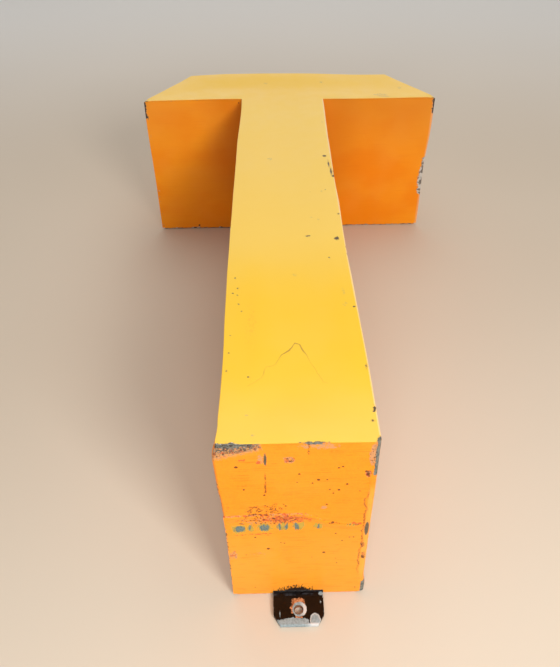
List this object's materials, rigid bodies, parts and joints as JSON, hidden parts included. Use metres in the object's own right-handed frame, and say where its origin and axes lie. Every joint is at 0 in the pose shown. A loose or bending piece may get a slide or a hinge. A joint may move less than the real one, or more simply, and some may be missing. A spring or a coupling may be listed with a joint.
{
  "type": "facade letter",
  "caption": "Hollow built-up capital T in painted sheet steel with deep walls, an open back and a drilled wall bracket at its foot and head.",
  "frame": {"origin": "middle of the crossbar's width and of the letter's height, on the plane of the back flanges that lie on the wall", "axes": "+Z out of the wall through the letter's face, +Y from the letter's foot to its head, +X to the letter's right seen from the front"},
  "size_m": [0.285, 0.544, 0.146],
  "materials": {
    "yellow_face_paint": "chalky satin enamel over galvanised sheet, chipped",
    "orange_wall_paint": "brushed satin enamel over galvanised sheet, worn at the seams",
    "black_bracket_paint": "chipped black enamel",
    "tie_steel": "grey primer, rusting",
    "solder": "dull tinned solder",
    "weld_steel": "rough weld metal"
  },
  "bodies": {
    "root": {"face_plate": "yellow_face_paint", "left_return": "orange_wall_paint", "right_return": "orange_wall_paint", "head_return": "orange_wall_paint", "foot_wall_upper": "orange_wall_paint", "foot_wall_lower": "orange_wall_paint", "foot_filler": "orange_wall_paint", "foot_bracket": "black_bracket_paint", "head_bracket": "black_bracket_paint", "foot_bracket_welds": "weld_steel", "head_bracket_welds": "weld_steel", "stem_tie_lower": "tie_steel", "stem_tie_upper": "tie_steel", "left_arm_tie": "tie_steel", "right_arm_tie": "tie_steel", "tie_welds": "weld_steel", "face_seam_solder": "solder", "corner_seam_solder": "solder", "foot_tack_welds": "orange_wall_paint"}
  },
  "joints": []
}
